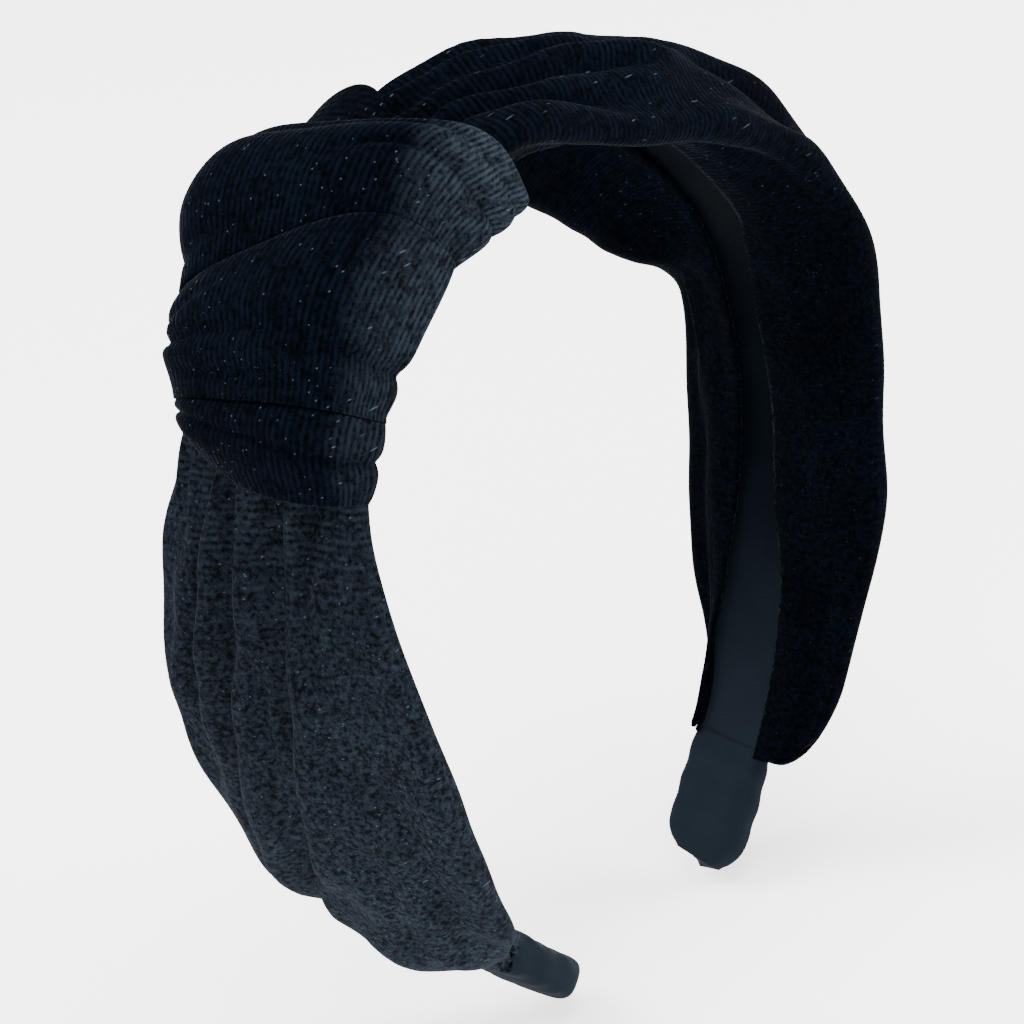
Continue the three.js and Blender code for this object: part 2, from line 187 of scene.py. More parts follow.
def two_faces(points, flat, thickness):
    """The sheet and its far side as one tube, closed at both ends, with the measures to match."""
    down = np.gradient(points, axis=0)
    over = np.gradient(points, axis=1)
    normal = np.cross(down, over)
    normal /= np.linalg.norm(normal, axis=-1, keepdims=True)
    halfway = len(points) // 2, points.shape[1] // 2
    middle = points[halfway]
    outwards = np.array([middle[0], 0, middle[2] - crown_centre * MM])
    if normal[halfway] @ outwards < 0:
        normal = -normal
    far = points - normal * thickness * MM
    between = (points + far) / 2
    both = np.concatenate([points, far[:, ::-1], points[:, :1]], axis=1)
    hem = np.concatenate([between, between[:, ::-1], between[:, :1]], axis=1)
    measures = np.concatenate([flat, flat[:, ::-1], flat[:, :1]], axis=1)
    shell = np.concatenate([hem[:1], both, hem[-1:]])
    shell_flat = np.concatenate([measures[:1], measures, measures[-1:]])
    return shell, shell_flat


# %% [markdown]
# ## The sleeve's section
# Cut across, the velvet rises from an edge fold at the back, over the foam, down to an edge fold at
# the front, and turns in under the band to meet the lining. Each half is three easy curves. Their
# ends come from courses, which is where the look of the headband is set: wide at the shoulders,
# gathered tight at the knot, and drooping free beside the crown.

# %% Courses of the sleeve
front_reach = course({
    -166: 8.6, -162: 9.8, -156: 14.5, -140: 20.5, -118: 25, -98: 25.5, -80: 21, -66: 16.5,
    -45: 15, -24: 15, -10: 19, 5: 20, 50: 21.2, 75: 22.6, 105: 23, 125: 22, 140: 19.6,
    153: 18.6, 161: 16.8, 166: 14.5,
})
back_reach = course({
    -166: 8.6, -162: 10, -156: 14, -148: 18.5, -138: 22, -120: 25.5, -100: 25, -76: 22,
    -66: 20.2, -45: 15, -24: 15, -10: 17, 5: 18.5, 50: 17.8, 66: 16.6, 86: 16, 110: 17,
    122: 17, 132: 15.6, 142: 11.5, 150: 8.8, 160: 7.8, 166: 7.6,
})
crest = course({
    -166: 2.7, -162: 3.6, -157: 6.4, -148: 9.6, -136: 10.2, -120: 10.8, -100: 9.2, -80: 7.5,
    -66: 6.3, -24: 6.5, -12: 8.2, 5: 8.3, 22: 9.2, 45: 13.4, 60: 15.8, 72: 14, 86: 10.4,
    105: 7.6, 140: 5.6, 158: 3.7, 166: 3.0,
})
back_droop = course({
    -24: 0, -12: 5, 5: 10.2, 22: 14.4, 40: 15.6, 48: 15, 54: 14.2, 60: 12.6, 66: 11.4,
    72: 8.2, 78: 3, 85: 0,
})
front_droop = course({-24: 0, -8: 0, 4: 1.2, 14: 3, 36: 3.2, 56: 0.6, 70: 0})
front_lift = course({
    -166: -0.4, -150: 0.8, -120: 1.6, -80: 1.5, -66: 0.4, -30: 0.4, -22: 1.2, -14: 5,
    -7: 4.5, 2: 1.8, 40: 3.6, 56: 5.4, 72: 5.6, 90: 2.5, 130: 1.2, 150: 0.5, 166: -0.4,
})
back_lift = course({
    -166: -0.4, -150: 2.4, -136: 4.2, -120: 4, -80: 1.8, -66: 0.4, -24: 0.3, 0: 2, 60: 2,
    100: 1.4, 150: 0.5, 166: -0.4,
})
fold_radius = course({
    -166: 1.0, -158: 1.3, -140: 2.2, -66: 2.6, -24: 2.6, 0: 2.6, 120: 2.6, 140: 2.2,
    158: 1.3, 166: 1.0,
})
lining_back = course({0: 5.5, 42: 4.5, 75: 3, 102: 3, 126: 5, 145: 6.8, 166: 6.9})
lining_front = course({
    0: 5.5, 44: 7.5, 64: 6.5, 81: 3.8, 100: 4.2, 119: 4.2, 135: 6.6, 148: 7, 166: 6.9,
})
TURNED_IN = -3.4
VELVET = 1.1

# %% [markdown]
# The curves need a few shares that say how far each handle reaches. A drooping edge also leans, and
# swings out a little. TOP, ROUND and UNDER are the numbers of steps in the three curves.

# %% Half a section
TOP, ROUND, UNDER = 34, 12, 22
SWING = 0.12
LEAN_OVER = 8
LEAVE_ACROSS, LEAVE_DOWN = 0.6, 0.22
ARRIVE_ACROSS, ARRIVE_DOWN = 0.3, 0.35
UNDER_HANDLE = 0.45
FLAT_HANDLE = 1.8


def curve(a, da, b, db, count):
    """Points on a cubic from a, leaving along da, to b, arriving along db."""
    t = np.linspace(0, 1, count + 1)[:, None]
    c, d = a + da, b - db
    return (1 - t) ** 3 * a + 3 * t * (1 - t) ** 2 * c + 3 * t * t * (1 - t) * d + t ** 3 * b


def half_section(s, side):
    """The velvet's outer line from the crest to its turned-in edge: side 1 back, -1 front."""
    back = side > 0
    droop = (back_droop if back else front_droop)(s)
    lift = (back_lift if back else front_lift)(s)
    radius = fold_radius(s)
    reach = (back_reach if back else front_reach)(s) - radius + SWING * droop
    centre = np.array([side * reach, lift - droop])
    lean = math.atan2(droop, LEAN_OVER)
    along = np.array([side * math.cos(lean), -math.sin(lean)])
    out = np.array([side * math.sin(lean), math.cos(lean)])
    peak = np.array([0.0, crest(s)])
    start = centre + out * radius
    drop = peak[1] - start[1]
    leave = np.array([side * (abs(start[0]) * LEAVE_ACROSS + drop * LEAVE_DOWN), 0.0])
    arrive = along * (abs(start[0]) * ARRIVE_ACROSS + drop * ARRIVE_DOWN)
    top = curve(peak, leave, start, arrive, TOP)
    turns = np.linspace(0, math.pi, ROUND + 1)[1:, None]
    edge = centre + out * radius * np.cos(turns) + along * radius * np.sin(turns)
    inner = side * (lining_back if back else lining_front)(abs(s))
    end = np.array([inner, TURNED_IN])
    pull = abs(edge[-1][0] - inner) * UNDER_HANDLE
    level = np.array([-side * pull * FLAT_HANDLE, 0.0])
    under = curve(edge[-1], -along * pull, end, level, UNDER)[1:]
    return np.concatenate([top, edge, under])


def section(s):
    """The whole outer line, from the back inner edge over the crest to the front one."""
    return np.concatenate([half_section(s, 1)[::-1], half_section(s, -1)[1:]])


# %% [markdown]
# ## Folds
# The cloth is longer than the band it covers, so it gathers. Each fold is drawn as a line across
# the flat strip, with a depth and a width, that rises and fades along its length. A sharp valley
# between two soft swells is what reads as a crease in velvet.

# %% Lines of folds
FADE = 9.0
VALLEY_WIDTH = 0.5
SWELL_AT = 1.3
SWELL_WIDTH = 0.85
SWELL_HEIGHT = 0.45


def crease(s, y, path, depth, width):
    """How far a crease along path lifts the cloth at s, y: its valley and the swells beside it."""
    line = course(dict(path))
    first, last = min(p for p, _ in path), max(p for p, _ in path)
    along = ease(s, first - 1, first + FADE) * (1 - ease(s, last - FADE, last + 1))
    far = np.abs(y - line(s))
    valley = np.exp(-(far / (width * VALLEY_WIDTH)) ** 1.3)
    swell = np.exp(-((far - width * SWELL_AT) / (width * SWELL_WIDTH)) ** 2)
    return along * depth * (SWELL_HEIGHT * swell - valley)


NEAR_FOLDS = [
    ([(-58, -4.5), (-80, -5.3), (-92, -4.8), (-104, -2.5), (-118, 1), (-130, 4)], 2.6, 3.4),
    ([(-86, -0.5), (-98, 0.6), (-112, 2.2), (-124, 5), (-134, 9), (-146, 13)], 2.0, 3.2),
    ([(-58, 3), (-80, 3.6), (-92, 6.5), (-105, 10.8), (-118, 13.6), (-130, 16), (-144, 17)], 2.2, 3.0),
    ([(-58, 9), (-72, 9.5), (-82, 11.5), (-94, 15.5), (-106, 19)], 2.0, 2.8),
    ([(-58, -11), (-70, -10.5), (-84, -10.5), (-98, -12)], 1.4, 2.8),
    ([(-118, -11), (-132, -9), (-146, -6), (-160, -3)], 0.9, 3.2),
    ([(-104, -16), (-122, -17), (-138, -14), (-152, -10)], 0.8, 3.0),
    ([(-128, 3), (-142, 5), (-160, 3)], 0.7, 2.6),
]
CROWN_FOLDS = [
    ([(-30, 10), (-14, 9), (0, 5), (14, 0), (30, -3)], 1.9, 2.6),
    ([(-30, 4), (-14, 2.5), (-2, -1.5), (12, -4.5), (36, -6)], 1.9, 2.4),
    ([(-30, -2), (-14, -4), (-4, -7.5), (10, -9.5), (30, -11)], 1.6, 2.4),
    ([(-30, -8), (-14, -10), (-2, -13), (14, -15)], 1.3, 2.4),
    ([(-30, 15), (-14, 14), (4, 11), (22, 8), (44, 6)], 1.6, 2.8),
    ([(26, 2), (42, -1), (58, -5), (72, -9), (84, -14)], 1.5, 3.4),
    ([(34, -9), (48, -12), (62, -16)], 1.2, 2.8),
    ([(40, 8), (56, 6), (72, 3), (92, 1)], 1.3, 3.4),
    ([(70, -6), (88, -8), (108, -10), (126, -12)], 1.2, 3.4),
    ([(84, 5), (104, 6), (124, 5), (146, 3)], 1.1, 3.2),
    ([(110, -5), (130, -6), (150, -4)], 0.9, 3.0),
]


# %% [markdown]
# Where the velvet goes into the knot it is gathered: small even pleats that fade out within a
# centimetre. Two slow waves make the rest of the cloth a little uneven, up to its ends.

# %% All folds together
PLEAT_SPACING = 4.3
PLEAT_HEIGHT = 0.34
PLEAT_SWAY = 1.3
KNOT_ENDS = ((-66, 9), (-17, 7))
SLOW_WAVES = [(0.35, 0.16, 0.23, 0), (0.25, 0.31, -0.37, 1.7)]
UNEVEN_UNTIL, EVEN_FROM = 148, 164


def fold_height(s, y):
    """The lift of all folds at s, y."""
    lift = sum(crease(s, y, path, depth, width) for path, depth, width in NEAR_FOLDS + CROWN_FOLDS)
    sway = PLEAT_SWAY * np.sin(0.21 * s)
    pleats = np.cos(2 * math.pi * y / PLEAT_SPACING + sway) * PLEAT_HEIGHT
    by_knot = sum(np.exp(-((s - place) / spread) ** 2) for place, spread in KNOT_ENDS)
    loose = 1 - ease(np.abs(s), UNEVEN_UNTIL, EVEN_FROM)
    return lift + pleats * by_knot + waves(SLOW_WAVES, s, y) * loose


# %% [markdown]
# ## The velvet sleeve
# The real sleeve is one tube of velvet. It disappears into the knot on the left shoulder, so it is
# made as two pieces that meet inside the knot, where nobody sees them. Velvet can't sink into the
# foam it covers, so `keep_out` looks from outside at every point of it and lifts the ones that a
# deep fold would push in.

# %% Feel where the foam is
CLEAR = 0.9
FAR_OUT = 30.0


def soft_core():
    """One search tree over the foam and the plastic of all three bodies."""
    bm = bmesh.new()
    for name, piece in frame["nodes"].items():
        if name.startswith(("padding_", "band_")):
            bm.from_mesh(piece.data)
    tree = BVHTree.FromBMesh(bm)
    bm.free()
    return tree


core = soft_core()


def keep_out(s, y, h, side):
    """h moved so that the cloth clears the core on its outer side (1) or its inner side (-1)."""
    kept = h.copy()
    away = bend(s, y, np.full_like(h, side * FAR_OUT))
    middle = bend(s, y, np.zeros_like(h))
    for place in np.ndindex(h.shape):
        start, stop = Vector(away[place]), Vector(middle[place])
        hit = core.ray_cast(start, (stop - start).normalized(), FAR_OUT * MM)
        if hit[0] is not None:
            surface = FAR_OUT - hit[3] / MM
            if side * kept[place] < surface + CLEAR:
                kept[place] = side * (surface + CLEAR)
    return kept


# %% [markdown]
# Near its ends the sleeve's edges are drawn back towards the crown, which rounds its mouth. The cloth
# turned in under the band has waves of its own instead of the outside's folds.

# %% Build the sleeve
SLEEVE_END = 163.5
ROW = 0.85
FOLD_STRENGTH = 1.2
EDGE_SHARE = 0.75
UNDER_WAVES = [(0.5, 0.11, 0.3, 0), (0.35, 0.27, 0, 0)]
DRAWN_BACK = 4.5
DRAWN_BACK_NEAR_FRONT = 5.5
MOUTH_LENGTH = 26


def folded(s, lines):
    """The section lines moved along their normals by the folds."""
    tangent = np.gradient(lines, axis=1)
    normal = np.stack([-tangent[..., 1], tangent[..., 0]], axis=-1)
    normal /= np.linalg.norm(normal, axis=-1, keepdims=True)
    normal *= np.sign(normal[:, lines.shape[1] // 2, 1])[:, None, None]
    count = lines.shape[1]
    column = np.abs(np.arange(count) - count // 2)
    fold_end = TOP + ROUND
    on_top = 1 - EDGE_SHARE * ease(column, TOP - 4, fold_end)
    inside = ease(column, fold_end, fold_end + 6)
    inside = inside * (1 - ease(column, fold_end + UNDER - 6, fold_end + UNDER))
    lift = FOLD_STRENGTH * fold_height(s, lines[..., 0]) * on_top
    lift += inside * waves(UNDER_WAVES, s, lines[..., 0])
    return lines + normal * lift[..., None]


def rounded_mouth(s, lines):
    """s with the sleeve's edges drawn back near its ends."""
    y = lines[..., 0]
    reach = np.abs(y) / np.where(y > 0, back_reach(s), front_reach(s))
    strength = np.where((s < 0) & (y < 0), DRAWN_BACK_NEAR_FRONT, DRAWN_BACK)
    pull = strength * np.clip((reach - 0.5) / 0.5, 0, 1) ** 2.4
    return s - np.sign(s) * pull * ease(np.abs(s), SLEEVE_END - MOUTH_LENGTH, SLEEVE_END)


def sleeve(name, start, end):
    """The velvet from s = start to s = end."""
    rows = np.arange(start, end + ROW / 2, ROW)
    lines = np.array([section(s) for s in rows])
    count = lines.shape[1]
    s = np.repeat(rows[:, None], count, axis=1)
    lines = folded(s, lines)
    steps = np.linalg.norm(np.diff(lines, axis=1, prepend=lines[:, :1]), axis=-1)
    flat = np.stack([s, np.cumsum(steps, axis=1)], axis=-1) * MM
    s = rounded_mouth(s, lines)
    y, h = lines[..., 0], lines[..., 1]
    over = slice(count // 2 - TOP - 2, count // 2 + TOP + 3)
    h[:, over] = keep_out(s[:, over], y[:, over], h[:, over] - VELVET, 1) + VELVET
    for under in (slice(0, UNDER), slice(count - UNDER, count)):
        h[:, under] = keep_out(s[:, under], y[:, under], h[:, under] + VELVET, -1) - VELVET
    return cloth(name, *two_faces(bend(s, y, h), flat, VELVET))


INSIDE_KNOT = -44.0, -45.0
velvet_right = sleeve("velvet_right", INSIDE_KNOT[0], SLEEVE_END)
velvet_left = sleeve("velvet_left", -SLEEVE_END, INSIDE_KNOT[1])

# %% [markdown]
# ## The knot
# A length of the same velvet is wrapped twice round the gathered sleeve and tucked in. Each turn is
# a soft roll that closes round the sleeve. A grid is bent into a ring: its columns go round the
# sleeve on a rounded square, and its rows go across the roll, over its puffed outside and back
# along the hidden inside. Its flat measure starts at KNOT_MEASURE, far past the sleeve's, so that
# the velvet can tell the knot from the sleeve. HOLD is the ring's inside, where it grips the sleeve:
# its reach to the back, the front, the top and under.

# %% Shape one turn
AROUND = 168
ACROSS_OUTSIDE, ACROSS_INSIDE = 33, 7
KNOT_MEASURE = 500.0
HOLD = np.array([15.8, 15.8, 7.2, 4.0])
HOLD_HEIGHT = 0.6
EDGE_WAVES = [(0.5, 3, 5, 0)]


def turn(name, top_edge, low_edge, reach, creases, rims, roll=2.6, power=2.9):
    """One turn between two edges, each s as a function of y, reaching back, front, top and under.

    rims tells how full the turn still is at its low and its top edge.
    """
    angles = np.linspace(0, 2 * math.pi, AROUND + 1)
    cos, sin = np.cos(angles), np.sin(angles)
    across = np.sign(cos) * np.abs(cos) ** (2 / power)
    rise = np.sign(sin) * np.abs(sin) ** (2 / power)
    outer = [(t, True) for t in np.linspace(0, 1, ACROSS_OUTSIDE)]
    inner = [(t, False) for t in np.linspace(1, 0, ACROSS_INSIDE)[1:-1]]
    rows = []
    lengthwise = []
    for t, outside in outer + inner + [(0.0, True)]:
        wide = np.array([side(t) for side in reach])
        puff = 1 - abs(2 * t - 1) ** roll
        rim = rims[0] + (rims[1] - rims[0]) * t
        size = HOLD + (wide - HOLD) * (rim + (1 - rim) * puff) if outside else HOLD
        y = np.where(across > 0, size[0], size[1]) * across
        h = HOLD_HEIGHT + np.where(rise > 0, size[2], size[3]) * rise
        s = low_edge(y) + (top_edge(y) - low_edge(y)) * t
        if outside:
            lift = creases(t, angles) * puff
            length = np.hypot(across, rise)
            y = y + lift * across / length
            h = h + lift * rise / length
        s = s + waves(EDGE_WAVES, angles, t) * (1 - abs(2 * t - 1))
        rows.append(bend(s, y, h))
        step = np.hypot(np.diff(y, prepend=y[0]), np.diff(h, prepend=h[0]))
        if t == 0.5 and outside:
            wrapped = np.cumsum(step) + KNOT_MEASURE
        lengthwise.append(s)
    flat = [np.stack([wrapped, s], axis=-1) * MM for s in lengthwise]
    return cloth(name, np.array(rows), np.array(flat))


def groove(t, at, depth, width):
    """A groove along a turn, at the share at of its width."""
    return -depth * np.exp(-(np.abs(t - at) / width) ** 1.4)


def side_courses(back, front, top, under):
    """The four reaches as courses over t, each from {t: mm}."""
    return [course(values) for values in (back, front, top, under)]


# %% [markdown]
# The creases of each turn run round it at a slant: `sweep` moves each groove up at the back and down
# at the front, and an ease on the angle lets some of them fade out on one side. A low wave round the
# ring keeps the roll from looking machined.

# %% Creases of the turns
def upper_creases(t, angle):
    sweep = 0.06 * np.cos(angle)
    rim = groove(t, 0.8 + sweep, 1.5, 0.05)
    middle = groove(t, 0.45 - 1.5 * sweep, 1.5, 0.05) * ease(-np.cos(angle), -0.2, 0.5)
    low = groove(t, 0.2 - 1.2 * sweep, 1.1, 0.05) * ease(np.cos(angle), -0.2, 0.6)
    return rim + middle + low + waves([(0.3, 5, 0, 2)], angle)


def lower_creases(t, angle):
    sweep = 0.14 * np.cos(angle)
    high = groove(t, 0.78 - sweep, 1.0, 0.05) * ease(np.cos(angle), -0.2, 0.6)
    middle = groove(t, 0.42 + sweep, 1.5, 0.06)
    low = groove(t, 0.16 + sweep, 1.8, 0.05) * ease(-np.cos(angle), -0.7, 0.1)
    return high + middle + low + waves([(0.3, 4, 0, 0)], angle)


def hem_creases(t, angle):
    sweep = 0.1 * np.cos(angle)
    return groove(t, 0.6 + sweep, 0.9, 0.07) + waves([(0.25, 6, 0, 0)], angle)


# %% [markdown]
# The turns share their seams, so the four lines between them are drawn first, each as s against y
# from the front edge to the back one. The knot leans over the near arm: its lines run lower behind.

# %% Build the knot
top_line = course({
    -30: -11.5, -24: -13.5, -16: -16.8, -6: -18.8, 4: -20.2, 14: -21.8, 22: -24, 28: -25,
})
upper_seam = course({-32: -25, -24: -27, -14: -31.5, -6: -35.5, 6: -41, 16: -44.5, 26: -45.5})
lower_seam = course({-30: -54, -14: -54.8, 2: -56, 14: -57, 24: -58})
hem_line = course({-28: -65.5, -14: -66.6, -2: -66, 8: -63.2, 16: -60, 24: -58.8})
OPEN_RIM, FULL_RIM = 0.55, 0.8

knot_upper = turn(
    "knot_upper", top_line, upper_seam,
    side_courses(back={0: 19.5, 0.5: 22.8, 1: 23.4}, front={0: 19, 0.5: 21, 1: 25.5},
                 top={0: 17.8, 0.5: 20, 1: 18.6}, under={0: 5.2, 0.5: 6.4, 1: 5}),
    upper_creases, (FULL_RIM, OPEN_RIM), power=3.3,
)
knot_lower = turn(
    "knot_lower", upper_seam, lower_seam,
    side_courses(back={0: 16.6, 0.5: 18, 1: 18.6}, front={0: 18, 0.5: 18.6, 1: 19.6},
                 top={0: 14.5, 0.5: 17.6, 1: 18.2}, under={0: 5, 0.5: 5.6, 1: 5.4}),
    lower_creases, (FULL_RIM, FULL_RIM),
)
knot_hem = turn(
    "knot_hem", lower_seam, hem_line,
    side_courses(back={0: 15.4, 0.5: 15.8, 1: 16.2}, front={0: 17.4, 0.5: 17.6, 1: 17.8},
                 top={0: 9.6, 0.5: 12.6, 1: 13.8}, under={0: 4.6, 0.5: 5, 1: 5}),
    hem_creases, (OPEN_RIM, FULL_RIM), roll=3.2,
)

# %% [markdown]
# ## The tucked fold
# The loose end of the knot's velvet peeps out behind its top as one small soft fold. A grid is
# bent into a flattened roll that lies on the sleeve, pinched at both ends.

# %% Build the tucked fold
FOLD = {"from": -24.0, "to": -9.5, "back": 19.0, "front": 1.0, "rise": 3.0}
PINCHED = 0.02
PINCHED_LENGTH = 0.35
UNDERSIDE = 0.2
SLEEVE_FALL = 0.28
SLEEVE_HALF = 18
LIES_ABOVE = 0.4


def tucked_fold():
    """A flattened roll that lies on the sleeve from back to front."""
    rows = []
    measures = []
    spread = np.linspace(0, 2 * math.pi, 49)
    middle = 0.5 * (FOLD["from"] + FOLD["to"])
    for t in np.linspace(0, 1, 25):
        full = math.sin(math.pi * min(max(t, PINCHED), 1 - PINCHED)) ** 0.6
        round_once = (0.5 - 0.5 * np.cos(spread)) * (1 - PINCHED)
        s = FOLD["from"] + (FOLD["to"] - FOLD["from"]) * round_once
        s = middle + (s - middle) * (PINCHED_LENGTH + (1 - PINCHED_LENGTH) * full)
        y = FOLD["front"] + (FOLD["back"] - FOLD["front"]) * t + 0 * spread
        base = crest(s) * (1 - SLEEVE_FALL * (y / SLEEVE_HALF) ** 2) + LIES_ABOVE
        thick = FOLD["rise"] * full * np.sin(spread / 2)
        h = base + np.where(spread < math.pi, thick, UNDERSIDE * thick)
        rows.append(bend(s, y, h))
        measures.append(np.stack([s, y], axis=-1) * MM)
    return cloth("knot_tuck", np.array(rows), np.array(measures))


knot_tuck = tucked_fold()

# %% [markdown]
# ## The satin lining
# A ribbon runs along the inside, over the raw edges of the velvet's turned-in hem. It is a thin
# strip that crosses both flex lines, so it is made as a left and a right piece too.

# %% Build the lining
RIBBON_TOP = -1.25
RIBBON = 0.6
RIBBON_ROW = 1.2
RIBBON_ENDS = 0.15, 162.9
RIBBON_WAVES = [(0.12, 0.19, 1.1, 0), (0.08, 0.53, -2.3, 0)]
ribbon_half = course({0: 6.6, 60: 6.6, 100: 6.2, 130: 7, 150: 7.2, 163: 6.7})


def lining(name, start, end):
    """The ribbon from s = start to s = end."""
    rows = np.arange(start, end + RIBBON_ROW / 2, RIBBON_ROW)
    columns = np.linspace(-1, 1, 23)
    s, u = np.meshgrid(rows, columns, indexing="ij")
    y = u * ribbon_half(np.abs(s))
    points = bend(s, y, RIBBON_TOP + waves(RIBBON_WAVES, s, u) * (1 - u * u))
    flat = np.stack([s, y], axis=-1) * MM
    return cloth(name, *two_faces(points, flat, RIBBON))


near, far = RIBBON_ENDS
lining_right = lining("lining_right_strip", near, far)
lining_left = lining("lining_left_strip", -far, -near)

# %% [markdown]
# ## The tip covers
# Each end of the band is closed by a short satin sock, flat and snug, with its corners cut off. It
# is a grid bent into a flat tube whose last rows run together at the end.

# %% Build the tip covers
COVER_START = 161.0
COVER_END = 182.0
CLOSES_FROM = 0.9
SOCK_CLOTH = 0.6
SLANT = 0.9
OUTER_SIDE = 2.3
MOUTH_SHARE = 0.75
MOUTH_OPENS_OVER = 4
FLAT_SIDES, FLAT_FACES = 0.5, 0.7
SOCK_WAVE = 0.15
END_BULGE = 0.35
END_WIDTH, END_THICKNESS = 0.2, 0.02
ROUND_TIP = 5.5
cover_half = course({161: 7.3, 164: 7.7, 170: 7.9, 176: 7.9, 179: 7.3, 181: 5.6, 182: 4.2})


def tip_cover(name, side, full):
    """A sock on one side's tip, with its flat tube full mm thick to either side of its middle."""
    angles = np.linspace(0, 2 * math.pi, 73)
    across = np.sign(np.cos(angles)) * np.abs(np.cos(angles)) ** FLAT_SIDES
    rise = np.sign(np.sin(angles)) * np.abs(np.sin(angles)) ** FLAT_FACES
    rows = []
    measures = []
    for t in np.linspace(0, 1, 41):
        closed = ease(t, CLOSES_FROM, 1.0)
        s = COVER_START + (COVER_END - COVER_START) * min(1.0, t / CLOSES_FROM) + END_BULGE * closed
        opened = ease(s, COVER_START, COVER_START + MOUTH_OPENS_OVER)
        mouth = MOUTH_SHARE + (1 - MOUTH_SHARE) * opened
        thick = (full + SOCK_WAVE * math.sin(1.3 * s)) * mouth
        half = cover_half(s) + waves([(SOCK_WAVE, 0.9, 2, 0)], s, angles)
        y = across * half * (END_WIDTH + (1 - END_WIDTH) * (1 - closed))
        h = rise * thick * (END_THICKNESS + (1 - END_THICKNESS) * (1 - closed)) + OUTER_SIDE - full
        rows.append(bend(side * (s - SLANT * across), y, h))
        measures.append(np.stack([side * s + 0 * angles, angles * ROUND_TIP], axis=-1) * MM)
    return cloth(name, np.array(rows), np.array(measures), SOCK_CLOTH)


cover_left = tip_cover("tip_sock_left", -1, 3.5)
cover_right = tip_cover("tip_sock_right", 1, 2.5)

# %% [markdown]
# ## Materials
# Each finish is a node material. `node` adds one node, sets its values and joins its inputs, so a
# material reads as a short list of steps. Colours are written as the hex values a maker would pick.

# %% Helpers for materials
def colour(code):
    """Linear red, green, blue, alpha from an sRGB hex code."""
    parts = [int(code[i:i + 2], 16) / 255 for i in (1, 3, 5)]
    return tuple(p / 12.92 if p <= 0.04045 else ((p + 0.055) / 1.055) ** 2.4 for p in parts) + (1.0,)


def node(tree, kind, values=None, links=None, **settings):
    """Adds a node, with its settings, its input values and the outputs that feed it."""
    made = tree.nodes.new(kind)
    for name, value in settings.items():
        setattr(made, name, value)
    for name, value in (values or {}).items():
        made.inputs[name].default_value = value
    for name, source in (links or {}).items():
        tree.links.new(source, made.inputs[name])
    return made


def material(name):
    """A new node material, with its tree emptied but for the output."""
    made = bpy.data.materials.new(name)
    made.use_nodes = True
    tree = made.node_tree
    tree.nodes.clear()
    output = tree.nodes.new("ShaderNodeOutputMaterial")
    return made, tree, output


# %% [markdown]
# Cut velvet has rows of upright pile. It drinks light head on and glows at a glancing angle, which
# the sheen lobe gives. The pile stands in ribs about a millimetre apart: the bump follows the flat
# measure that runs across them, wobbled a little and worn away in patches.
#
# Pattern sizes are in cells per metre. Real tufts are about 0.3 mm apart; TUFTS draws them 0.9 mm
# apart, which is as coarse as they need to be to show.

# %% Ribs of the velvet
RIB_SPACING = 0.00105
RIB_WOBBLE = 0.0004
WOBBLE_CELLS = 200.0
WORN_CELLS = 520.0
TUFTS = 1150.0


def velvet_ribs(tree, spot, along):
    """The height of the ribs, and the share of it that still stands in each patch."""
    wobble = node(tree, "ShaderNodeTexNoise", {"Scale": WOBBLE_CELLS, "Detail": 2.0},
                  {"Vector": spot})
    shifted = node(tree, "ShaderNodeMath", {1: RIB_WOBBLE}, {0: wobble.outputs["Fac"], 2: along},
                   operation="MULTIPLY_ADD")
    phase = node(tree, "ShaderNodeMath", {1: 2 * math.pi / RIB_SPACING}, {0: shifted.outputs[0]},
                 operation="MULTIPLY")
    wave = node(tree, "ShaderNodeMath", links={0: phase.outputs[0]}, operation="SINE")
    rib = node(tree, "ShaderNodeMapRange", {"From Min": -1.0, "From Max": 1.0},
               {"Value": wave.outputs[0]})
    broken = node(tree, "ShaderNodeTexNoise", {"Scale": WORN_CELLS, "Detail": 2.0},
                  {"Vector": spot})
    patchy = node(tree, "ShaderNodeMapRange",
                  {"From Min": 0.35, "From Max": 0.65, "To Min": 0.05, "To Max": 0.45},
                  {"Value": broken.outputs["Fac"]})
    return rib.outputs[0], patchy.outputs[0]


# %% [markdown]
# On the arm with the knot the colour is painted paler towards the tip, a painted sheen for the
# light its pile catches there; the knot's front gets the same painted sheen. The far arm's pile
# is smooth, and the ribs stand best on the knot and the crown.

# %% Painted sheen and how the pile lies
KNOT_FROM = 0.4
NEAR_ARM_UNTIL = -0.0445
NEAR_ARM_SHEEN = {"From Min": -0.045, "From Max": -0.165, "To Min": 0.2}
KNOT_FRONT = {"From Min": -0.0155, "From Max": -0.0215, "To Max": 0.7}
SMOOTH_ARM = {"From Min": 0.025, "From Max": 0.075, "To Min": 1.0, "To Max": 0.2}
RIBS_LEFT = {"From Min": 0.24, "From Max": 0.5, "To Min": 1.0, "To Max": 0.08}


